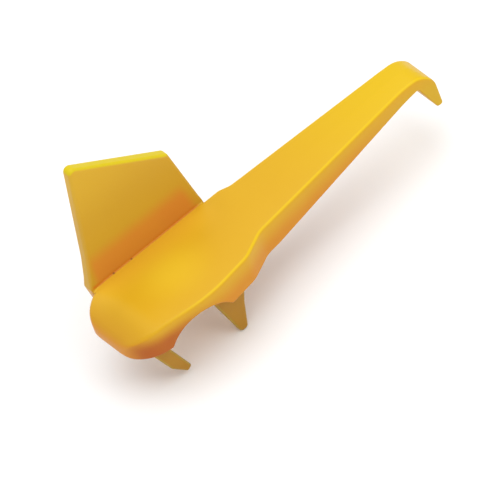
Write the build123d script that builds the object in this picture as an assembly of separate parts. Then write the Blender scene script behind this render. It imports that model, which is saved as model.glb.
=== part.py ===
"""One-piece clip-on fence insulator: saddle, grip fin, stand-off arm and wire hook.

Millimetres. The origin is the crown of the clip throat, midway across the saddle.
+X runs out along the arm to the hook, +Y points to the grip fin, +Z is up.
The real part is a single moulding. Each node is one wall, rib or feature of it,
and the nodes meet face to face.
"""
import os

from build123d import *

# Heights above the crown of the throat
TOP_Z = 3.5              # flat top of the saddle and arm
RIM_Z = -4.9             # bottom rim of the saddle's walls

# Wall thicknesses
ROOF_T = 2.4
ARM_ROOF_T = 2.0
WALL_T = 2.2
RIB_T = 2.0
WEB_T = 1.6
FIN_T = 3.1
EDGE_R = 0.9             # rounding along the outer top edges

# Saddle and arm in plan
CREASE_Y = 12.3          # the top meets the fin's inner face here
NOSE_X = -19.2           # end of the rounded nose
NOSE_FAR_R = 7.0         # rounding of the nose beside the fin
NOSE_CUT_X = -9.2        # the nose cap ends here
FAR_FLANGE_X = 20.0      # the far flange starts here, behind the end of the fin
NECK_X = 28.8            # the saddle ends and the arm begins
ARM_END_X = 76.0         # the arm ends and the hook begins
ARM_END_NEAR_Y = -0.45
ARM_END_FAR_Y = 9.6
NOSE_ROLL_X = 8.5        # the top rolls down to the nose over this length
NOSE_ROLL_Z = 7.6
PLAN_CORNERS = [
    # x, y and rounding radius of each corner of the plan
    (26.8, CREASE_Y, 3.5),
    (NOSE_X, CREASE_Y, NOSE_FAR_R),
    (NOSE_X, -9.9, 10.0),
    (4.0, -13.0, 40.0),
    (17.6, -10.7, 8.0),
    (24.6, -7.0, 8.0),
    (ARM_END_X, ARM_END_NEAR_Y, 0),
    (ARM_END_X, ARM_END_FAR_Y, 0),
    (29.8, 11.2, 4.0),
]

# Arm
ARM_MIDDLE_Y = 3.0       # between the near and far flanges
ARM_TIP_UNDER_Z = -0.6   # underside of the arm where the hook begins
WEB_INSET = 0.6          # the centre web stops this far above the flanges' edges
WEB_ROOT_Y = 2.1         # centre line of the web at the neck
WEB_TIP_Y = 4.5

# Grip fin, as x and z of its corners
FIN_FOOT_LEFT = (-13.7, TOP_Z)
FIN_KNEE = (-11.8, 12.6)
FIN_TOP_LEFT = (-7.5, 41.9)
FIN_TOP_RIGHT = (18.3, 24.1)
FIN_FOOT_RIGHT = (22.3, TOP_Z)
FAR_WALL_X = -12.3       # the wall below the fin starts here
FIN_CORNER_R = 1.5
FIN_KNEE_R = 8.0
FIN_EDGE_R = 0.8

# Clip throat and prongs
THROAT_R = 10.9
THROAT_RIB_X = 9.6       # inner face of the rib on each side of the throat
PRONG_T = 2.6
PRONG_FRONT_Y = -8.7     # face of each prong, just behind the near wall
NOSE_PRONG = [
    # x, z and rounding radius of each corner
    (-10.2, RIM_Z, 0),
    (-14.3, RIM_Z, 0),
    (-10.4, -14.0, 2.5),
    (-6.6, -18.2, 0.6),
    (-5.2, -17.1, 0.5),
    (-7.2, -12.2, 4.0),
]
ARM_PRONG = [
    (4.1, TOP_Z - ROOF_T, 0),
    (10.1, -19.4, 1.3),
    (12.4, -19.1, 1.3),
    (13.8, -11.0, 10.0),
    (15.6, RIM_Z, 0),
    (15.6, TOP_Z - ROOF_T, 0),
]

# Hook, in side view
HOOK_OUTER_X = 85.0
HOOK_BEND_R = 6.0
HOOK_TIP_Z = -8.9
HOOK_TIP_INNER_X = 83.3
HOOK_TIP_R = 0.7
HOOK_CORNER = (80.0, 0.0)
HOOK_CORNER_R = 0.6
HOOK_LIP_Z = -1.0        # the lip hangs below the bend from here
HOOK_END_NEAR_Y = -0.75
HOOK_END_FAR_Y = 8.9

BIG = 200.0              # larger than the part, for cutting with half-spaces
CLOSE = 0.1              # tolerance for picking edges
CREASE_STRIP = 3.0       # width of the strip along the crease whose edge stays square
UNDER_ROOF_Z = TOP_Z - ROOF_T
UNDER_ARM_Z = TOP_Z - ARM_ROOF_T


def slab(x=(-BIG, BIG), y=(-BIG, BIG), z=(-BIG, BIG)):
    """A box between the given limits."""
    middle = [(low + high) / 2 for low, high in (x, y, z)]
    return Pos(*middle) * Box(x[1] - x[0], y[1] - y[0], z[1] - z[0])


def upright_plate(outline, y_low, y_high):
    """A plate from an outline in x and z, between two values of y."""
    face = make_face(Plane.XZ * outline)
    return Pos(0, y_high, 0) * extrude(face, amount=y_high - y_low, dir=(0, -1, 0))


def rounded_polygon(corners):
    """A closed face in its own plane, from corners that each have a rounding radius."""
    face = make_face(Polyline(*[(x, y) for x, y, radius in corners], close=True))
    for x, y, radius in corners:
        if radius:
            corner = face.vertices().sort_by_distance((x, y, 0))[0]
            face = fillet(corner, radius)
    return face


def under_roll_off(inset):
    """The space below the top where it rolls down over the nose, inset by a thickness."""
    nose_x = NOSE_X + inset
    top_z = TOP_Z - inset
    centre = (NOSE_X + NOSE_ROLL_X, TOP_Z - NOSE_ROLL_Z)
    roll = EllipticalCenterArc(
        centre, NOSE_ROLL_X - inset, NOSE_ROLL_Z - inset, start_angle=90, arc_size=90
    )
    rest = Polyline(
        (nose_x, centre[1]),
        (nose_x, -BIG),
        (BIG, -BIG),
        (BIG, top_z),
        (centre[0], top_z),
    )
    return upright_plate(Curve() + [roll, rest], -BIG, BIG)


def outer_block(plan):
    """The saddle and arm as one block, with rounded top edges except along the crease."""
    block = extrude(Pos(0, 0, RIM_Z) * plan, amount=TOP_Z - RIM_Z)
    top_edges = block.faces().sort_by(Axis.Z)[-1].edges()
    block = fillet(top_edges.filter_by(lambda edge: edge.center().X < ARM_END_X - CLOSE), EDGE_R)
    along = (NOSE_X + NOSE_FAR_R, FIN_FOOT_RIGHT[0])
    crease = slab(along, (CREASE_Y - CREASE_STRIP, CREASE_Y), (RIM_Z, TOP_Z))
    return (block + crease) & under_roll_off(0)


def inner_block(plan, roof_t):
    """The hollow between the walls, under a roof of the given thickness."""
    hollow = extrude(Pos(0, 0, RIM_Z) * offset(plan, -WALL_T), amount=TOP_Z - roof_t - RIM_Z)
    return hollow & under_roll_off(roof_t)


def above_arm_underside(inset=0.0):
    """Everything above the sloping underside of the arm."""
    outline = Polyline(
        (-BIG, RIM_Z + inset),
        (NECK_X, RIM_Z + inset),
        (ARM_END_X, ARM_TIP_UNDER_Z + inset),
        (BIG, ARM_TIP_UNDER_Z + inset),
        (BIG, BIG),
        (-BIG, BIG),
        close=True,
    )
    return upright_plate(outline, -BIG, BIG)


def throat():
    """The round-topped passage through both walls of the saddle."""
    return Pos(0, 0, -THROAT_R) * Rot(90, 0, 0) * Cylinder(THROAT_R, 2 * BIG)


def make_saddle(outer, hollow, walls):
    """Roof, rounded nose and near wall of the saddle."""
    nose = (outer - hollow) & slab(x=(-BIG, NOSE_CUT_X))
    roof = outer & slab(x=(NOSE_CUT_X, NECK_X), z=(UNDER_ROOF_Z, BIG))
    near_wall = walls & slab((NOSE_CUT_X, NECK_X), (-BIG, 0), (-BIG, UNDER_ROOF_Z))
    return {
        "saddle_roof": roof,
        "nose_cap": nose,
        "near_wall": near_wall - throat(),
    }


def make_throat_ribs(hollow):
    """Cross ribs on both sides of the throat, and one that closes the neck."""
    spans = {
        "nose_side_rib": (-THROAT_RIB_X - RIB_T, -THROAT_RIB_X),
        "arm_side_rib": (THROAT_RIB_X, THROAT_RIB_X + RIB_T),
        "neck_rib": (NECK_X - RIB_T, NECK_X),
    }
    ribs = {name: hollow & slab(x=span, z=(RIM_Z, UNDER_ROOF_Z)) for name, span in spans.items()}
    to_far_wall = slab(spans["arm_side_rib"], (0, CREASE_Y), (RIM_Z, UNDER_ROOF_Z))
    ribs["arm_side_rib"] = ribs["arm_side_rib"] + to_far_wall
    return ribs


def make_fin():
    """The grip fin and, below the crease, the far wall that carries it."""
    corners = [
        (*FIN_FOOT_LEFT, 0),
        (*FIN_KNEE, FIN_KNEE_R),
        (*FIN_TOP_LEFT, FIN_CORNER_R),
        (*FIN_TOP_RIGHT, FIN_CORNER_R),
        (*FIN_FOOT_RIGHT, 0),
    ]
    face = Plane.XZ * rounded_polygon(corners)
    fin = Pos(0, CREASE_Y + FIN_T, 0) * extrude(face, amount=FIN_T, dir=(0, -1, 0))
    free_edges = fin.edges().filter_by(lambda edge: edge.center().Z > TOP_Z + CLOSE)
    long_edges = free_edges.filter_by(lambda edge: edge.bounding_box().size.Y < CLOSE)
    fin = fillet(long_edges, FIN_EDGE_R)
    span = (FAR_WALL_X, FIN_FOOT_RIGHT[0])
    far_wall = slab(span, (CREASE_Y, CREASE_Y + FIN_T), (RIM_Z, TOP_Z)) - throat()
    return {"grip_fin": fin, "far_wall": far_wall}


def make_prong(corners):
    """A pointed prong behind the near wall."""
    face = Plane.XZ * rounded_polygon(corners)
    return Pos(0, PRONG_FRONT_Y + PRONG_T, 0) * extrude(face, amount=PRONG_T, dir=(0, -1, 0))


def make_arm(outer, walls, plan):
    """Top plate, two flanges and centre web of the channel-shaped arm."""
    top = outer & slab(x=(NECK_X, ARM_END_X), z=(UNDER_ARM_Z, BIG))
    hollow = extrude(Pos(0, 0, RIM_Z) * offset(plan, -WALL_T), amount=UNDER_ARM_Z - RIM_Z)
    flanges = (outer - hollow) & above_arm_underside() & slab(z=(-BIG, UNDER_ARM_Z))
    near = flanges & slab(x=(NECK_X, ARM_END_X - WALL_T)) & slab(y=(-BIG, ARM_MIDDLE_Y))
    far = flanges & slab(x=(NECK_X, ARM_END_X - WALL_T)) & slab(y=(ARM_MIDDLE_Y, BIG))
    far_root = walls & slab((FAR_FLANGE_X, NECK_X), (0, BIG), (-BIG, UNDER_ROOF_Z))
    return {
        "arm_plate": top,
        "arm_near_flange": near,
        "arm_far_flange": far + far_root,
        "arm_web": make_web(hollow),
    }


def make_web(hollow):
    """A thin rib along the middle of the arm, from the neck to the tip."""
    line = Line((NECK_X, WEB_ROOT_Y), (ARM_END_X, WEB_TIP_Y))
    strip = make_face(offset(line, WEB_T / 2))
    web = extrude(Pos(0, 0, RIM_Z) * strip, amount=UNDER_ARM_Z - RIM_Z)
    return web & above_arm_underside(WEB_INSET) & slab(x=(NECK_X, BIG)) & hollow


def make_hook():
    """The arm's end bent down into a lip that holds the wire."""
    corners = [
        (ARM_END_X, TOP_Z, 0),
        (HOOK_OUTER_X, TOP_Z, HOOK_BEND_R),
        (HOOK_OUTER_X, HOOK_TIP_Z, HOOK_TIP_R),
        (HOOK_TIP_INNER_X, HOOK_TIP_Z, HOOK_TIP_R),
        (*HOOK_CORNER, HOOK_CORNER_R),
        (ARM_END_X, ARM_TIP_UNDER_Z, 0),
    ]
    side = Plane.XZ * rounded_polygon(corners)
    bar = Pos(0, BIG, 0) * extrude(side, amount=2 * BIG, dir=(0, -1, 0))
    plan = Polyline(
        (ARM_END_X, ARM_END_NEAR_Y),
        (HOOK_OUTER_X, HOOK_END_NEAR_Y),
        (HOOK_OUTER_X, HOOK_END_FAR_Y),
        (ARM_END_X, ARM_END_FAR_Y),
        close=True,
    )
    hook = bar & extrude(Pos(0, 0, -BIG) * make_face(plan), amount=2 * BIG)
    return {
        "hook_bend": hook & slab(z=(HOOK_LIP_Z, BIG)),
        "hook_lip": hook & slab(z=(-BIG, HOOK_LIP_Z)),
    }


def make_part():
    plan = rounded_polygon(PLAN_CORNERS)
    outer = outer_block(plan)
    hollow = inner_block(plan, ROOF_T)
    walls = outer - hollow
    nodes = make_saddle(outer, hollow, walls)
    nodes.update(make_fin())
    nodes.update(make_throat_ribs(hollow))
    nodes.update(make_arm(outer, walls, plan))
    nodes.update(make_hook())
    nodes["nose_prong"] = make_prong(NOSE_PRONG)
    nodes["arm_prong"] = make_prong(ARM_PRONG) - nodes["arm_side_rib"]
    return nodes


os.makedirs("parts", exist_ok=True)
for name, shape in make_part().items():
    shape.label = name
    export_step(shape, f"parts/{name}.step")
    print(name, len(shape.solids()), round(shape.volume, 1), shape.is_valid)
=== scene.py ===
import math

import bmesh
import bpy
import numpy as np
from mathutils import Matrix, Vector


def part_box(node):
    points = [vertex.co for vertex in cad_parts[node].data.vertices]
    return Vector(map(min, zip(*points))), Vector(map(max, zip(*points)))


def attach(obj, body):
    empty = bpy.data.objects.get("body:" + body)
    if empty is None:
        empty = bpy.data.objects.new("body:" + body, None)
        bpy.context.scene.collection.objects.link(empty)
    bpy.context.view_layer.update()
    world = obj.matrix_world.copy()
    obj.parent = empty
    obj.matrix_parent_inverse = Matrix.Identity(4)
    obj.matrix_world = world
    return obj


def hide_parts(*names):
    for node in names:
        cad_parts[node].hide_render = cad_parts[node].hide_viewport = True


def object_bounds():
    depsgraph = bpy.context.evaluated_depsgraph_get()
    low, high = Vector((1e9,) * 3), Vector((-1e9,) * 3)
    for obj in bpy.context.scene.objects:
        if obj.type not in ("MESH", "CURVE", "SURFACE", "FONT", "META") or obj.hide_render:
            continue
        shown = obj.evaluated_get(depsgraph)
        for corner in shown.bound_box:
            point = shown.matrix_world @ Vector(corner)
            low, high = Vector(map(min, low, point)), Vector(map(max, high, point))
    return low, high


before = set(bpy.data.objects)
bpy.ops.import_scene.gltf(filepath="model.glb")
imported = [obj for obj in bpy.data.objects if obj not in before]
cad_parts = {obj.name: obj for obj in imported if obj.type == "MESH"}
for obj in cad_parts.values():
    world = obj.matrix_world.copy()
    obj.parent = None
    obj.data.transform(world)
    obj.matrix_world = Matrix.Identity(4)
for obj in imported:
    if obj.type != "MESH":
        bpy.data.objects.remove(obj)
cad_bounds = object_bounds()

MM = 0.001

# ---------------------------------------------------------------- sizes read from the frame
nose_low, nose_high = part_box("nose_cap")
fin_low, fin_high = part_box("grip_fin")
neck_low, neck_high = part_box("neck_rib")

RIM_Z = nose_low.z
TOP_Z = nose_high.z
NOSE_CUT_X = nose_high.x
ROOF_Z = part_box("saddle_roof")[0].z
ARM_ROOF_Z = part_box("arm_plate")[0].z
ARM_END_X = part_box("arm_plate")[1].x
CREASE_Y = fin_low.y
FIN_BACK_Y = fin_high.y
NECK_RIB_X = neck_low.x
NECK_X = neck_high.x
PRONG_FRONT_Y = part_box("nose_prong")[0].y
FLOOR_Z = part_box("arm_prong")[0].z

# ---------------------------------------------------------------- sizes of the moulding
WALL = 2.2 * MM
TOP_EDGE_R = 0.9 * MM        # rounding along the top edges
RIM_EDGE_R = 0.45 * MM       # rounding along the bottom rim
EDGE_GROWS_Z = (-0.5 * MM, 2.2 * MM)   # one rounding turns into the other between these heights
FIN_EDGE_R = 0.85 * MM       # rounding along the fin's edges
FIN_EDGE_GROWS = 3.0 * MM    # which it reaches this much above the top
PRONG_EDGE_R = 0.75 * MM
INNER_R = 0.5 * MM           # fillets inside the hollows
FAR_RIB_EDGE_R = 0.1 * MM
CREASE_R = 0.4 * MM
CREASE_SPAN_X = (-13.2 * MM, 21.8 * MM)  # the top keeps a square edge here, where it meets the fin
CREASE_SPAN_Y = (CREASE_Y - 1 * MM, CREASE_Y + 1 * MM)
CROWN = 0.45 * MM            # the top rises this much from its edges to its middle
CROWN_REACH = 9 * MM         # and it does so within this much of its edges
THROAT_R = 10.9 * MM
RIB_X = 9.6 * MM             # the ribs beside the throat start this far from its middle
RIB_T = 2.0 * MM
WEB_T = 1.6 * MM
WEB_INSET = 0.6 * MM         # the web stays this much above the flanges' lower edges
WEB_ROOT_Y = 2.1 * MM
WEB_TIP_Y = 4.5 * MM
ARM_TIP_UNDER_Z = -0.6 * MM  # lower edge of the arm's flanges at the hook
FAR_FLANGE_X = 20.0 * MM     # the saddle's hollow reaches the fin's plane up to here
PRONG_T = 2.6 * MM
PRONG_TAPER = 0.35           # a prong is this much thinner at its tip
OVERLAP = 1 * MM             # the web runs this far into the neck and roof, and ends this short of the hook
OPEN_BELOW_Z = -30 * MM      # the hollows run out through the underside to here

# Rounding of the hollows' corners, in millimetres as in the outlines below.
HOLLOW_NOSE_R = 5.4
HOLLOW_CORNER_R = 1.0
ARM_ROOF_R = 0.8

PLAN = [
    # x, y and rounding radius of each corner of the plan, in millimetres
    (-19.2, 12.3, 7.0),
    (-19.2, -9.9, 10.0),
    (4.0, -13.0, 40.0),
    (17.6, -10.7, 8.0),
    (24.6, -7.0, 8.0),
    (76.0, -0.45, 30.0),
    (90.0, -0.95, 1.0),
    (90.0, 8.7, 1.0),
    (76.0, 9.6, 12.0),
    (29.8, 11.2, 4.0),
    (26.8, 12.3, 3.5),
]
SIDE = [
    # x, z and rounding radius of each corner of the saddle, arm and hook seen from the side
    (-19.2, -4.9, 1.5),
    (28.8, -4.9, 12.0),
    (76.0, -0.6, 20.0),
    (80.0, 0.0, 0.6),
    (83.3, -8.9, 0.7),
    (85.0, -8.9, 0.7),
    (85.0, 3.5, 6.0),
    (-12.9, 3.5, 14.6),
    (-19.2, -0.7, 4.9),
]
FIN = [
    # x, z and rounding radius of each corner of the fin and the wall below it
    (-12.3, -4.9, 0.5),
    (22.3, -4.9, 0.5),
    (22.3, 3.5, 6.0),
    (18.3, 24.1, 1.4),
    (-7.5, 41.9, 1.5),
    (-11.8, 12.6, 8.0),
    (-13.7, 3.5, 0.5),
]
NOSE_PRONG = [
    (-10.2, 0.5, 0.3),
    (-14.3, 0.5, 0.3),
    (-14.3, -4.9, 1.0),
    (-10.4, -14.0, 2.5),
    (-6.6, -18.2, 0.6),
    (-5.2, -17.1, 0.5),
    (-7.2, -12.2, 4.0),
    (-10.2, -4.9, 3.0),
]
ARM_PRONG = [
    (4.1, 1.1, 0.3),
    (10.1, -19.4, 1.3),
    (12.4, -19.1, 1.3),
    (13.8, -11.0, 10.0),
    (15.6, -4.9, 3.0),
    (15.6, 1.1, 0.3),
]


# ---------------------------------------------------------------- distance fields
def rounded_outline(corners):
    """Lines and arcs of a closed counter-clockwise outline, from corners in millimetres."""
    points = [np.array(corner[:2]) * MM for corner in corners]
    area = sum(a[0] * b[1] - a[1] * b[0] for a, b in zip(points, points[1:] + points[:1]))
    order = list(range(len(points)))
    if area < 0:
        order.reverse()
    arcs = []
    for place, index in enumerate(order):
        corner = points[index]
        radius = corners[index][2] * MM
        back = points[order[place - 1]] - corner
        ahead = points[order[(place + 1) % len(order)]] - corner
        back = back / np.linalg.norm(back)
        ahead = ahead / np.linalg.norm(ahead)
        half = math.acos(float(np.clip(back @ ahead, -1, 1))) / 2
        reach = radius / math.tan(half)
        middle = back + ahead
        centre = corner + middle / np.linalg.norm(middle) * radius / math.sin(half)
        convex = back[0] * ahead[1] - back[1] * ahead[0] < 0
        arcs.append((corner + back * reach, corner + ahead * reach, centre, radius, convex))
    lines = [(arcs[i - 1][1], arcs[i][0]) for i in range(len(arcs))]
    return lines, arcs


def outline_distance(outline, u, v):
    """Signed distance to an outline in its plane, negative inside."""
    lines, arcs = outline
    best = np.full(u.shape, 1e9)
    signed = np.full(u.shape, 1e9)
    for start, end in lines:
        along = end - start
        du = u - start[0]
        dv = v - start[1]
        share = np.clip((du * along[0] + dv * along[1]) / (along @ along), 0, 1)
        away = np.hypot(du - share * along[0], dv - share * along[1])
        side = along[0] * dv - along[1] * du
        nearer = away < best
        best = np.where(nearer, away, best)
        signed = np.where(nearer, np.where(side > 0, -away, away), signed)
    for start, end, centre, radius, convex in arcs:
        du = u - centre[0]
        dv = v - centre[1]
        first = start - centre
        last = end - centre
        after = first[0] * dv - first[1] * du
        before = du * last[1] - dv * last[0]
        if not convex:
            after = -after
            before = -before
        gap = np.hypot(du, dv) - radius
        away = np.where((after >= 0) & (before >= 0), np.abs(gap), 1e9)
        nearer = away < best
        best = np.where(nearer, away, best)
        signed = np.where(nearer, gap if convex else -gap, signed)
    return signed


def meet(a, b, r):
    """What is inside both shapes, with the edge between them rounded to radius r."""
    return np.minimum(-r, np.maximum(a, b)) + np.hypot(np.maximum(a + r, 0), np.maximum(b + r, 0))


def join(a, b, r):
    """Both shapes together, with a fillet of radius r where they meet."""
    return -meet(-a, -b, r)


def cut(a, b, r):
    """The first shape without the second, with the edge rounded to radius r."""
    return meet(a, -b, r)


def between(value, low, high):
    """Distance outside the slab low..high."""
    return np.abs(value - (low + high) / 2) - (high - low) / 2


def smooth_step(value, low, high):
    t = np.clip((value - low) / (high - low), 0, 1)
    return t * t * (3 - 2 * t)


def hollow_outline(left_x, right_x, roof_z, roof_radii):
    """Corners in millimetres of a hollow that is open below."""
    left, right, roof, below = (value / MM for value in (left_x, right_x, roof_z, OPEN_BELOW_Z))
    return [
        (left, below, HOLLOW_CORNER_R),
        (right, below, HOLLOW_CORNER_R),
        (right, roof, roof_radii[1]),
        (left, roof, roof_radii[0]),
    ]


PLAN_SHAPE = rounded_outline(PLAN)
SIDE_SHAPE = rounded_outline(SIDE)
FIN_SHAPE = rounded_outline(FIN)
NOSE_PRONG_SHAPE = rounded_outline(NOSE_PRONG)
ARM_PRONG_SHAPE = rounded_outline(ARM_PRONG)
SADDLE_HOLLOW_SHAPE = rounded_outline(
    hollow_outline(nose_low.x + WALL, NECK_RIB_X, ROOF_Z, (HOLLOW_NOSE_R, HOLLOW_CORNER_R))
)
ARM_HOLLOW_SHAPE = rounded_outline(
    hollow_outline(NECK_X, ARM_END_X - WALL, ARM_ROOF_Z, (ARM_ROOF_R, ARM_ROOF_R))
)


def saddle_and_arm(x, y, z, plan):
    """The saddle, arm and hook in one smooth solid."""
    depth = np.clip(-plan, 0, CROWN_REACH) / CROWN_REACH
    crown = CROWN * depth * (2 - depth) * smooth_step(z, ROOF_Z, TOP_Z)
    side = outline_distance(SIDE_SHAPE, x, z - crown)
    edge_r = RIM_EDGE_R + (TOP_EDGE_R - RIM_EDGE_R) * smooth_step(z, *EDGE_GROWS_Z)
    body = meet(plan, side, edge_r)
    under_fin = np.maximum(between(x, *CREASE_SPAN_X), between(y, *CREASE_SPAN_Y))
    under_fin = np.maximum(under_fin, ROOF_Z - z)
    return np.minimum(body, np.maximum(under_fin, side))


def hollows(x, y, z, plan):
    """The open undersides of the saddle and the arm."""
    inner = plan + WALL
    saddle = meet(inner, outline_distance(SADDLE_HOLLOW_SHAPE, x, z), INNER_R)
    arm = meet(inner, outline_distance(ARM_HOLLOW_SHAPE, x, z), INNER_R)
    to_fin = meet(between(x, NOSE_CUT_X, FAR_FLANGE_X), between(y, 0, CREASE_Y), INNER_R)
    to_fin = meet(to_fin, z - ROOF_Z, INNER_R)
    return np.minimum(join(saddle, to_fin, INNER_R), arm)


def fin_plate(x, y, z):
    """The fin, and the far wall below it."""
    outline = outline_distance(FIN_SHAPE, x, z)
    edge_r = RIM_EDGE_R + (FIN_EDGE_R - RIM_EDGE_R) * smooth_step(z, TOP_Z, TOP_Z + FIN_EDGE_GROWS)
    return meet(outline, between(y, CREASE_Y, FIN_BACK_Y), edge_r)


def inner_ribs(x, y, z, plan):
    """Cross ribs beside the throat, and the web under the arm."""
    above_rim = RIM_Z + RIM_EDGE_R - z
    inside = np.maximum(plan, above_rim)
    nose_rib = np.maximum(between(x, -RIB_X - RIB_T, -RIB_X), inside + WALL / 2)
    arm_rib_slab = between(x, RIB_X, RIB_X + RIB_T)
    arm_rib_far = meet(arm_rib_slab, between(y, 0, CREASE_Y + WALL / 2), FAR_RIB_EDGE_R)
    arm_rib_near = np.maximum(arm_rib_slab, inside + WALL / 2)
    arm_rib = np.minimum(arm_rib_near, np.maximum(arm_rib_far, above_rim))
    ribs = np.maximum(np.minimum(nose_rib, arm_rib), z - ROOF_Z - WALL / 2)
    share = (x - NECK_X) / (ARM_END_X - NECK_X)
    web_y = WEB_ROOT_Y + (WEB_TIP_Y - WEB_ROOT_Y) * share
    under_z = RIM_Z + (ARM_TIP_UNDER_Z - RIM_Z) * share + WEB_INSET
    web = np.maximum(np.abs(y - web_y) - WEB_T / 2, between(x, NECK_X - OVERLAP, ARM_END_X - OVERLAP))
    web = np.maximum(web, between(z, under_z, ARM_ROOF_Z + OVERLAP))
    return np.minimum(ribs, web)


def prong(shape, x, y, z):
    """A pointed prong, thinner towards its tip."""
    thin = 1 - PRONG_TAPER * smooth_step(-z, -RIM_Z, -FLOOR_Z)
    half = PRONG_T / 2 * thin
    plate = np.abs(y - PRONG_FRONT_Y - PRONG_T / 2) - half
    return meet(outline_distance(shape, x, z), plate, PRONG_EDGE_R)


def moulding(points):
    """Signed distance to the whole moulding."""
    x, y, z = points[:, 0], points[:, 1], points[:, 2]
    plan = outline_distance(PLAN_SHAPE, x, y)
    solid = saddle_and_arm(x, y, z, plan)
    shell = cut(solid, hollows(x, y, z, plan), RIM_EDGE_R)
    shell = join(shell, fin_plate(x, y, z), CREASE_R)
    throat = np.hypot(x, z + THROAT_R) - THROAT_R
    shell = cut(shell, throat, RIM_EDGE_R)
    shell = join(shell, inner_ribs(x, y, z, plan), INNER_R)
    prongs = np.minimum(prong(NOSE_PRONG_SHAPE, x, y, z), prong(ARM_PRONG_SHAPE, x, y, z))
    return join(shell, prongs, INNER_R)


# ---------------------------------------------------------------- from field to mesh
GRID_STEP = 0.32 * MM
MARGIN_BELOW = 1.5 * MM      # the grid reaches this much past the CAD's low corner
MARGIN_ABOVE = 2.5 * MM      # and this much past its high corner
BLOCK = 4                    # grid points along the side of a block
NEAR_BLOCKS = 1.25           # a block this near to the surface is sampled exactly
EVENING_ROUNDS = 3
EVENING_SHARE = 0.5          # how far a vertex moves towards the middle of its neighbours in a round


def sample_field(low, high, step):
    """The field on a grid, exact near the surface and rough elsewhere."""
    counts = [int(math.ceil((high[i] - low[i]) / step / BLOCK)) * BLOCK for i in range(3)]
    axes = [low[i] + step * np.arange(counts[i]) for i in range(3)]
    rough_axes = [axis[::BLOCK] + step * (BLOCK - 1) / 2 for axis in axes]
    rough_grid = np.stack(np.meshgrid(*rough_axes, indexing="ij"), -1)
    values = moulding(rough_grid.reshape(-1, 3)).reshape(rough_grid.shape[:3])
    for axis in range(3):
        values = np.repeat(values, BLOCK, axis)
    near = np.argwhere(np.abs(values) < BLOCK * step * NEAR_BLOCKS)
    points = np.stack([axes[i][near[:, i]] for i in range(3)], 1)
    values[tuple(near.T)] = np.concatenate([moulding(part) for part in np.array_split(points, 16)])
    return values


def surface_net(values, low, step):
    """Quads of the zero surface: one vertex in each cell that it crosses."""
    shape = np.array(values.shape)
    cell_ids, places, quads = [], [], []
    inside = values < 0
    for axis in range(3):
        others = [i for i in range(3) if i != axis]
        first = [slice(1, None)] * 3
        second = [slice(1, None)] * 3
        first[axis] = slice(0, -1)
        second[axis] = slice(1, None)
        change = inside[tuple(first)] != inside[tuple(second)]
        found = np.argwhere(change)
        for other in others:
            found[:, other] += 1
        beyond = found.copy()
        beyond[:, axis] += 1
        here = values[tuple(found.T)]
        there = values[tuple(beyond.T)]
        crossing = found.astype(float)
        crossing[:, axis] += here / (here - there)
        ring = []
        for back_0, back_1 in ((0, 0), (1, 0), (1, 1), (0, 1)):
            cell = found.copy()
            cell[:, others[0]] -= back_0
            cell[:, others[1]] -= back_1
            flat = np.ravel_multi_index(cell.T, shape)
            cell_ids.append(flat)
            places.append(crossing)
            ring.append(flat)
        ring = np.stack(ring, 1)
        flip = (here < 0) == (axis != 1)
        ring[~flip] = ring[~flip][:, ::-1]
        quads.append(ring)
    cell_ids = np.concatenate(cell_ids)
    places = np.concatenate(places)
    used, index = np.unique(cell_ids, return_inverse=True)
    count = np.bincount(index)
    vertices = np.stack([np.bincount(index, places[:, i]) / count for i in range(3)], 1)
    faces = np.searchsorted(used, np.concatenate(quads))
    return np.array(low) + vertices * step, faces


def gradient(points, reach=0.02 * MM):
    """Outward normal of the field."""
    parts = []
    for axis in range(3):
        shift = np.zeros(3)
        shift[axis] = reach
        parts.append(moulding(points + shift) - moulding(points - shift))
    normal = np.stack(parts, 1)
    return normal / np.maximum(np.linalg.norm(normal, axis=1, keepdims=True), 1e-12)


def settle(points, faces):
    """Evens out the quads while keeping every vertex on the surface."""
    pairs = np.concatenate([faces[:, [0, 1]], faces[:, [1, 2]], faces[:, [2, 3]], faces[:, [3, 0]]])
    pairs = np.unique(np.sort(pairs, 1), axis=0)
    count = np.bincount(pairs.ravel(), minlength=len(points))[:, None]
    for _ in range(EVENING_ROUNDS):
        normal = gradient(points)
        points = points - normal * moulding(points)[:, None]
        total = np.zeros_like(points)
        for axis in range(3):
            total[:, axis] += np.bincount(pairs[:, 0], points[pairs[:, 1], axis], len(points))
            total[:, axis] += np.bincount(pairs[:, 1], points[pairs[:, 0], axis], len(points))
        pull = total / count - points
        pull -= normal * np.sum(pull * normal, 1, keepdims=True)
        points = points + EVENING_SHARE * pull
    for _ in range(2):
        points = points - gradient(points) * moulding(points)[:, None]
    return points


def build_moulding():
    """Mesh of the whole moulding, before it is cut into pieces."""
    step = GRID_STEP
    low = [cad_bounds[0][i] - MARGIN_BELOW for i in range(3)]
    high = [cad_bounds[1][i] + MARGIN_ABOVE for i in range(3)]
    points, faces = surface_net(sample_field(low, high, step), low, step)
    points = settle(points, faces)
    mesh = bpy.data.meshes.new("moulding_source")
    mesh.from_pydata([tuple(p) for p in points], [], [tuple(int(i) for i in f) for f in faces])
    mesh.update()
    return mesh


# ---------------------------------------------------------------- pieces
FIN_CUT_Z = TOP_Z + 0.8 * MM
PRONG_CUT_Z = RIM_Z - 0.25 * MM
NECK_CUT_X = (NECK_X + NECK_RIB_X) / 2
SADDLE_NODES = [
    "saddle_roof",
    "nose_cap",
    "near_wall",
    "far_wall",
    "nose_side_rib",
    "arm_side_rib",
    "neck_rib",
]
ARM_NODES = ["arm_plate", "arm_near_flange", "arm_far_flange", "arm_web"]


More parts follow.
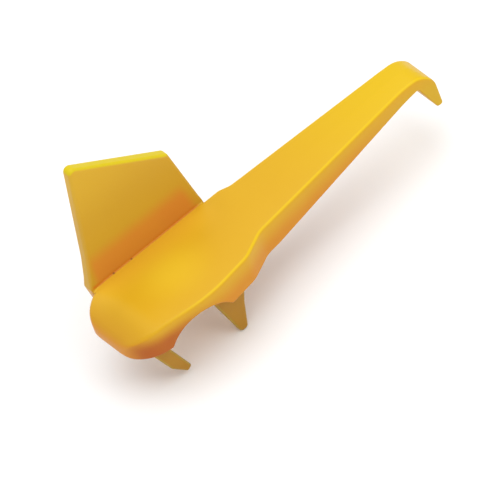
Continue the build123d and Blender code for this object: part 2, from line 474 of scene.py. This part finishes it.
def piece_mesh(name, source, keeps):
    """Part of the moulding inside some half-spaces, closed where it is cut."""
    mesh = bmesh.new()
    mesh.from_mesh(source)
    for point, outward in keeps:
        geometry = mesh.verts[:] + mesh.edges[:] + mesh.faces[:]
        result = bmesh.ops.bisect_plane(
            mesh, geom=geometry, plane_co=point, plane_no=outward, clear_outer=True, dist=1e-8
        )
        edges = [e for e in result["geom_cut"] if isinstance(e, bmesh.types.BMEdge) and e.is_boundary]
        if edges:
            filled = bmesh.ops.triangle_fill(mesh, edges=edges, use_beauty=True, normal=outward)
            for face in filled["geom"]:
                if isinstance(face, bmesh.types.BMFace):
                    face.material_index = 1
    data = bpy.data.meshes.new(name)
    mesh.to_mesh(data)
    mesh.free()
    return data


def smooth_by_field(data):
    """Shades the outer faces by the field's normals and the cut faces flat."""
    points = np.zeros(len(data.vertices) * 3)
    data.vertices.foreach_get("co", points)
    normal = gradient(points.reshape(-1, 3))
    loop_normals = np.zeros((len(data.loops), 3))
    for face in data.polygons:
        outer = face.material_index == 0
        for loop in face.loop_indices:
            vertex = data.loops[loop].vertex_index
            loop_normals[loop] = normal[vertex] if outer else face.normal
    data.polygons.foreach_set("use_smooth", np.ones(len(data.polygons), bool))
    data.polygons.foreach_set("material_index", np.zeros(len(data.polygons), np.int32))
    data.normals_split_custom_set([tuple(n) for n in loop_normals])


def make_pieces(material):
    """Six pieces. Each is what lies on the inner side of its cuts: a point and an outward direction."""
    source = build_moulding()
    left, right = (-1, 0, 0), (1, 0, 0)
    down, up = (0, 0, -1), (0, 0, 1)
    neck = (NECK_CUT_X, 0, 0)
    hook = (ARM_END_X, 0, 0)
    crease = (0, 0, FIN_CUT_Z)
    rim = (0, 0, PRONG_CUT_Z)
    middle = (0, 0, 0)
    plans = {
        "saddle": ([(neck, right), (crease, up), (rim, down)], SADDLE_NODES),
        "fin": ([(crease, down), (neck, right)], ["grip_fin"]),
        "arm": ([(neck, left), (hook, right)], ARM_NODES),
        "hook": ([(hook, left)], ["hook_bend", "hook_lip"]),
        "prong_nose_side": ([(rim, up), (middle, right)], ["nose_prong"]),
        "prong_arm_side": ([(rim, up), (middle, left), (neck, right)], ["arm_prong"]),
    }
    for name, (keeps, nodes) in plans.items():
        data = piece_mesh(name, source, keeps)
        smooth_by_field(data)
        piece = bpy.data.objects.new(name, data)
        bpy.context.scene.collection.objects.link(piece)
        data.materials.append(material)
        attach(piece, "root")
        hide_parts(*nodes)
    bpy.data.meshes.remove(source)


# ---------------------------------------------------------------- material
# Most colours below are painted light and shade: lighter and darker copies of the one yellow, put where
# light and shade fall.
TOP_YELLOW = (0.63, 0.355, 0.012)
# painted highlight in the middle of the saddle, and the tone of the random clouds
CENTRE_HIGHLIGHT_AND_CLOUD_YELLOW = (0.70, 0.445, 0.020)
# painted light beside the crease, lighter than the top, where the crease's shade would turn it orange
CREASE_PAINTED_LIGHT_YELLOW = (0.76, 0.45, 0.028)
# painted highlight towards the hook
HOOK_HIGHLIGHT_YELLOW = (0.68, 0.44, 0.005)
# painted shade where the nose rolls down
NOSE_SHADE_AMBER = (0.55, 0.265, 0.012)
# painted highlight along the rounded top edges
EDGE_HIGHLIGHT_LEMON = (0.74, 0.50, 0.006)
# painted highlight along the fin's top rim
FIN_RIM_HIGHLIGHT_LEMON = (0.62, 0.48, 0.006)
# painted shade on the walls: ochre below the top edge, ochre at the hook, orange lower down, deepest on the
# nose's near side
WALL_TOP_SHADE_OCHRE = (0.63, 0.34, 0.012)
HOOK_WALL_SHADE_OCHRE = (0.60, 0.36, 0.014)
WALL_SHADE_ORANGE = (0.60, 0.225, 0.010)
NOSE_WALL_DEEP_SHADE_ORANGE = (0.42, 0.10, 0.009)
# painted shade on the fin: tan faces, lighter towards the top, an orange band along its foot, and darker in
# the crease
FIN_SHADE_TAN = (0.58, 0.325, 0.026)
FIN_TOP_LIGHTER_SHADE_TAN = (0.64, 0.37, 0.022)
FIN_FOOT_SHADE_ORANGE = (0.635, 0.235, 0.030)
CREASE_SHADE_ORANGE = (0.61, 0.195, 0.016)
# painted shade on the prongs: lighter olive on their edges, brown-orange on their faces
PRONG_EDGE_SHADE_OLIVE = (0.38, 0.235, 0.020)
PRONG_FACE_SHADE_BROWN = (0.385, 0.180, 0.014)
SPECK_BROWN = (0.22, 0.07, 0.010)

# Where each tint fades in or out: the two ends of its soft step.
TOWARDS_HOOK_X = (30 * MM, 82 * MM)
SADDLE_CENTRE = (3 * MM, 1.5 * MM, TOP_Z)
SADDLE_CENTRE_R = (1 * MM, 13 * MM)
TOWARDS_CREASE_Y = (2 * MM, CREASE_Y)
PAST_SADDLE_X = (16 * MM, 25 * MM)
TOWARDS_NOSE_X = (-20 * MM, -11 * MM)
HOOK_WALL_X = (55 * MM, 80 * MM)
LOW_WALL_Z = (RIM_Z + 1.5 * MM, TOP_Z - 0.5 * MM)
DEEP_WALL_X = (-6 * MM, 8 * MM)
DEEP_WALL_Z = (TOP_Z - 5.5 * MM, TOP_Z - 0.8 * MM)
FIN_FROM_Y = (CREASE_Y - 0.6 * MM, CREASE_Y)
FIN_FROM_Z = (TOP_Z - 0.3 * MM, TOP_Z + 0.3 * MM)
FIN_TOP_Z = (20 * MM, 38 * MM)
FIN_RIM_Z = (12 * MM, 18 * MM)
BAND_Z = (9.1 * MM, 15.1 * MM)
BAND_LEFT_X = (-12.6 * MM, -10.1 * MM)
BAND_RIGHT_X = (18.5 * MM, 21.5 * MM)
FIN_EDGE_LEAN = 0.2          # the fin's arm-side edge moves back by this much per unit of height
CREASE_FROM_Y = (CREASE_Y - 0.45 * MM, CREASE_Y - 0.2 * MM)
CREASE_FROM_Z = (TOP_Z - 0.3 * MM, TOP_Z)
CREASE_TO_Z = (TOP_Z + 0.3 * MM, TOP_Z + 1.2 * MM)
CREASE_LEFT_X = (-13.5 * MM, -12.5 * MM)
CREASE_RIGHT_X = (19.0 * MM, 21.5 * MM)
BESIDE_CREASE_Y = (CREASE_Y - 1.0 * MM, CREASE_Y - 0.5 * MM)
PAST_CREASE_X = (22 * MM, 23 * MM)
LIT_EDGE_X = (-14 * MM, 8 * MM)
LIT_EDGE_Z = (0, 1 * MM)
PRONG_Z = (RIM_Z - 1.2 * MM, RIM_Z + 0.2 * MM)
PAST_PRONGS_X = (30 * MM, 32 * MM)
SPECKS = [(-6.6 * MM, 0.34 * MM), (-0.9 * MM, 0.30 * MM)]   # x along the crease, and radius

CLOUD_SIZE = 9 * MM
CLOUD_SHARE = 0.06
PATCH_SIZE = 5 * MM
ROUGHNESS = 0.27
ROUGHNESS_SPREAD = 0.16
GRAIN_SIZE = 0.5 * MM
GRAIN_SHARE = 0.25
RIPPLE_SIZE = 3.5 * MM
BUMP_STRENGTH = 0.35
BUMP_HEIGHT = 0.04 * MM


class NodeMaker:
    """Adds nodes to a material. Inputs are numbers, vectors, colours or other nodes' outputs."""

    def __init__(self, tree):
        self.tree = tree

    def fill(self, socket, value):
        if isinstance(value, bpy.types.NodeSocket):
            self.tree.links.new(value, socket)
        else:
            socket.default_value = value

    def math(self, operation, a, b=0.0):
        node = self.tree.nodes.new("ShaderNodeMath")
        node.operation = operation
        self.fill(node.inputs[0], a)
        self.fill(node.inputs[1], b)
        return node.outputs[0]

    def product(self, first, *others):
        for other in others:
            first = self.math("MULTIPLY", first, other)
        return first

    def flip(self, value):
        return self.math("SUBTRACT", 1.0, value)

    def negative(self, value):
        return self.math("MULTIPLY", value, -1)

    def rise(self, value, low, high):
        """0 below low, 1 above high, and a soft step between."""
        node = self.tree.nodes.new("ShaderNodeMapRange")
        node.interpolation_type = "SMOOTHSTEP"
        self.fill(node.inputs["Value"], value)
        node.inputs["From Min"].default_value = low
        node.inputs["From Max"].default_value = high
        return node.outputs["Result"]

    def fall(self, value, low, high):
        return self.flip(self.rise(value, low, high))

    def split(self, vector):
        node = self.tree.nodes.new("ShaderNodeSeparateXYZ")
        self.fill(node.inputs[0], vector)
        return node.outputs

    def distance(self, vector, point):
        node = self.tree.nodes.new("ShaderNodeVectorMath")
        node.operation = "DISTANCE"
        self.fill(node.inputs[0], vector)
        node.inputs[1].default_value = point
        return node.outputs["Value"]

    def blend(self, share, first, second):
        node = self.tree.nodes.new("ShaderNodeMix")
        node.data_type = "RGBA"
        self.fill(node.inputs["Factor"], share)
        for name, colour in (("A", first), ("B", second)):
            socket = [s for s in node.inputs if s.name == name and s.type == "RGBA"][0]
            self.fill(socket, (*colour, 1) if isinstance(colour, tuple) else colour)
        return [s for s in node.outputs if s.type == "RGBA"][0]

    def noise(self, vector, size, detail=2.0):
        node = self.tree.nodes.new("ShaderNodeTexNoise")
        self.fill(node.inputs["Vector"], vector)
        node.inputs["Scale"].default_value = 1 / size
        node.inputs["Detail"].default_value = detail
        return node.outputs["Fac"]


def top_colour_with_painted_light(make, place, x, y):
    """Yellow, with painted light: a painted highlight makes it a little brighter in the middle of the
    saddle and towards the hook, it is painted lighter beside the crease, and painted shade turns it amber
    towards the nose.
    """
    colour = make.blend(make.rise(x, *TOWARDS_HOOK_X), TOP_YELLOW, HOOK_HIGHLIGHT_YELLOW)
    centre = make.fall(make.distance(place, SADDLE_CENTRE), *SADDLE_CENTRE_R)
    colour = make.blend(centre, colour, CENTRE_HIGHLIGHT_AND_CLOUD_YELLOW)
    by_crease = make.product(make.rise(y, *TOWARDS_CREASE_Y), make.fall(x, *PAST_SADDLE_X))
    colour = make.blend(by_crease, colour, CREASE_PAINTED_LIGHT_YELLOW)
    # painted shade towards the nose
    return make.blend(make.fall(x, *TOWARDS_NOSE_X), colour, NOSE_SHADE_AMBER)


def wall_painted_shade(make, x, z, nx, ny):
    """Painted shade on the walls: ochre just below the top edge, then orange, and deepest on the near side
    of the nose.
    """
    orange = make.blend(make.rise(x, *HOOK_WALL_X), WALL_SHADE_ORANGE, HOOK_WALL_SHADE_OCHRE)
    colour = make.blend(make.fall(z, *LOW_WALL_Z), WALL_TOP_SHADE_OCHRE, orange)
    # painted shade on faces turned towards the nose end
    nose_end = make.product(make.rise(make.negative(nx), 0.4, 0.95), 0.4)
    colour = make.blend(nose_end, colour, WALL_SHADE_ORANGE)
    # deepest painted shade low on the near side of the nose
    near_side = make.rise(make.negative(ny), 0.25, 0.8)
    deep = make.product(near_side, make.fall(x, *DEEP_WALL_X), make.fall(z, *DEEP_WALL_Z))
    return make.blend(deep, colour, NOSE_WALL_DEEP_SHADE_ORANGE)


def fin_painted_light_and_shade(make, colour, x, y, z, ny, nz):
    """Painted shade on the fin: tan faces, lighter towards the top, an orange band along the foot and a
    darker crease; and a painted highlight, a lemon rim, along the top.
    """
    on_fin = make.product(make.rise(z, *FIN_FROM_Z), make.rise(y, *FIN_FROM_Y))
    tan = make.blend(make.rise(z, *FIN_TOP_Z), FIN_SHADE_TAN, FIN_TOP_LIGHTER_SHADE_TAN)
    colour = make.blend(on_fin, colour, tan)
    leaning_x = make.math("ADD", x, make.product(make.math("SUBTRACT", z, TOP_Z), FIN_EDGE_LEAN))
    near_face = make.rise(make.negative(ny), 0.1, 0.4)
    # painted shade: an orange band along the fin's foot
    band = make.product(
        on_fin,
        make.fall(z, *BAND_Z),
        make.rise(x, *BAND_LEFT_X),
        make.fall(leaning_x, *BAND_RIGHT_X),
        near_face,
    )
    colour = make.blend(band, colour, FIN_FOOT_SHADE_ORANGE)
    # painted shade in the crease
    crease = make.product(
        make.rise(y, *CREASE_FROM_Y),
        make.rise(z, *CREASE_FROM_Z),
        make.fall(z, *CREASE_TO_Z),
        make.rise(x, *CREASE_LEFT_X),
        make.fall(leaning_x, *CREASE_RIGHT_X),
        near_face,
    )
    colour = make.blend(crease, colour, CREASE_SHADE_ORANGE)
    # painted highlight on the fin's upward-facing top rim
    top_rim = make.product(on_fin, make.rise(nz, 0.15, 0.6), make.rise(z, *FIN_RIM_Z))
    return make.blend(top_rim, colour, FIN_RIM_HIGHLIGHT_LEMON)


def edge_highlight_share(make, x, y, z, ny, nz):
    """Where the rounded near and far edges of the top catch more light: a painted highlight."""
    across = make.math("ABSOLUTE", ny)
    sideways = make.product(make.rise(across, 0.25, 0.5), make.fall(across, 0.7, 0.92))
    tilted = make.product(sideways, make.rise(nz, 0.2, 0.5))
    crease = make.product(make.rise(y, *BESIDE_CREASE_Y), make.fall(x, *PAST_CREASE_X))
    along = make.product(make.rise(x, *LIT_EDGE_X), make.rise(z, *LIT_EDGE_Z), 0.75)
    return make.product(tilted, along, make.flip(crease))


def prong_painted_shade(make, colour, x, z, ny):
    """Painted shade below the rim: brown-orange faces and lighter olive edges."""
    on_prong = make.product(make.fall(z, *PRONG_Z), make.fall(x, *PAST_PRONGS_X))
    face = make.rise(make.math("ABSOLUTE", ny), 0.8, 0.99)
    return make.blend(on_prong, colour, make.blend(face, PRONG_EDGE_SHADE_OLIVE, PRONG_FACE_SHADE_BROWN))


def plastic_colour_with_painted_light(make, place, normal):
    """Yellow on top, with painted light and shade: orange painted shade on the walls, crease and prongs,
    and painted highlights along the edges.
    """
    x, y, z = make.split(place)
    nx, ny, nz = make.split(normal)
    # side faces get the walls' painted shade, upward faces the top's yellow
    upward = make.rise(nz, 0.35, 0.85)
    colour = make.blend(upward, wall_painted_shade(make, x, z, nx, ny), top_colour_with_painted_light(make, place, x, y))
    colour = fin_painted_light_and_shade(make, colour, x, y, z, ny, nz)
    # painted highlight along the rounded top edges
    colour = make.blend(edge_highlight_share(make, x, y, z, ny, nz), colour, EDGE_HIGHLIGHT_LEMON)
    # painted shade on the prongs
    colour = prong_painted_shade(make, colour, x, z, ny)
    cloudy = make.rise(make.noise(place, CLOUD_SIZE), 0.3, 0.7)
    colour = make.blend(make.product(cloudy, CLOUD_SHARE), colour, CENTRE_HIGHLIGHT_AND_CLOUD_YELLOW)
    for speck_x, radius in SPECKS:
        spot = make.fall(make.distance(place, (speck_x, CREASE_Y, TOP_Z)), radius * 0.6, radius * 1.6)
        colour = make.blend(make.product(spot, 0.85), colour, SPECK_BROWN)
    return colour


def moulded_plastic():
    """Satin polyethylene with a faint moulded texture."""
    material = bpy.data.materials.new("moulded_plastic_yellow")
    material.use_nodes = True
    tree = material.node_tree
    make = NodeMaker(tree)
    shader = tree.nodes["Principled BSDF"]
    place = tree.nodes.new("ShaderNodeTexCoord").outputs["Object"]
    normal = tree.nodes.new("ShaderNodeNewGeometry").outputs["Normal"]
    make.fill(shader.inputs["Base Color"], plastic_colour_with_painted_light(make, place, normal))

    patches = make.noise(place, PATCH_SIZE, 3.0)
    rough = make.math("ADD", ROUGHNESS, make.product(patches, ROUGHNESS_SPREAD))
    make.fill(shader.inputs["Roughness"], rough)

    grain = make.noise(place, GRAIN_SIZE)
    ripple = make.noise(place, RIPPLE_SIZE, 1.0)
    height = make.math("ADD", make.product(grain, GRAIN_SHARE), ripple)
    bump = tree.nodes.new("ShaderNodeBump")
    bump.inputs["Strength"].default_value = BUMP_STRENGTH
    bump.inputs["Distance"].default_value = BUMP_HEIGHT
    make.fill(bump.inputs["Height"], height)
    make.fill(shader.inputs["Normal"], bump.outputs["Normal"])

    shader.inputs["IOR"].default_value = 1.5
    shader.inputs["Specular IOR Level"].default_value = 0.18
    return material


# ---------------------------------------------------------------- stage
FLOOR_HALF = 2.0
FLOOR_WHITE = (0.92, 0.92, 0.92)
WORLD_STRENGTH = 0.80
LIT_PLACE = (0.03, 0, 0)     # both lamps point at this place, near the middle of the object
CAMERA_RIGHT = (0.7465, -0.6124, -0.2594)
CAMERA_BACK = (-0.280, -0.643, 0.712)
CAMERA_DISTANCE = 4.0
FRAME_WIDTH = 120 * MM       # what the picture spans at the object
CREASE_END = (-13.2 * MM, CREASE_Y, TOP_Z)
RIGHT_OF_CREASE_END = 37.7 * MM
ABOVE_CREASE_END = 9.6 * MM


def floor_paper():
    material = bpy.data.materials.new("floor_paper")
    material.use_nodes = True
    shader = material.node_tree.nodes["Principled BSDF"]
    shader.inputs["Base Color"].default_value = (*FLOOR_WHITE, 1)
    shader.inputs["Roughness"].default_value = 0.9
    return material


def make_floor():
    data = bpy.data.meshes.new("floor")
    turns = ((-1, -1), (1, -1), (1, 1), (-1, 1))
    data.from_pydata([(FLOOR_HALF * u, FLOOR_HALF * v, FLOOR_Z) for u, v in turns], [], [(0, 1, 2, 3)])
    floor = bpy.data.objects.new("floor", data)
    bpy.context.scene.collection.objects.link(floor)
    data.materials.append(floor_paper())


def area_light(name, place, size, power):
    data = bpy.data.lights.new(name, "AREA")
    data.size = size
    data.energy = power
    light = bpy.data.objects.new(name, data)
    bpy.context.scene.collection.objects.link(light)
    direction = Vector(LIT_PLACE) - Vector(place)
    light.rotation_euler = direction.to_track_quat("-Z", "Y").to_euler()
    light.location = place


def make_lights():
    world = bpy.data.worlds.new("studio")
    world.use_nodes = True
    background = world.node_tree.nodes["Background"]
    background.inputs["Color"].default_value = (1, 1, 1, 1)
    background.inputs["Strength"].default_value = WORLD_STRENGTH
    bpy.context.scene.world = world
    area_light("top_light", place=(0.05, 0.0, 0.7), size=0.9, power=3.5)
    area_light("edge_light", place=(0.20, -0.45, 0.42), size=0.25, power=0.5)


def make_camera():
    """A long lens, looking down on the nose and the near side, turned so that the arm runs up."""
    back = Vector(CAMERA_BACK).normalized()
    up = back.cross(Vector(CAMERA_RIGHT).normalized()).normalized()
    right = up.cross(back)
    target = Vector(CREASE_END) + right * RIGHT_OF_CREASE_END + up * ABOVE_CREASE_END
    data = bpy.data.cameras.new("camera")
    data.sensor_width = 36
    data.lens = data.sensor_width * CAMERA_DISTANCE / FRAME_WIDTH
    data.clip_end = 30
    camera = bpy.data.objects.new("camera", data)
    bpy.context.scene.collection.objects.link(camera)
    turn = Matrix((right, up, back)).transposed().to_4x4()
    camera.matrix_world = Matrix.Translation(target + back * CAMERA_DISTANCE) @ turn
    bpy.context.scene.camera = camera


make_pieces(moulded_plastic())
make_floor()
make_lights()
make_camera()
bpy.context.scene.view_settings.view_transform = "Standard"
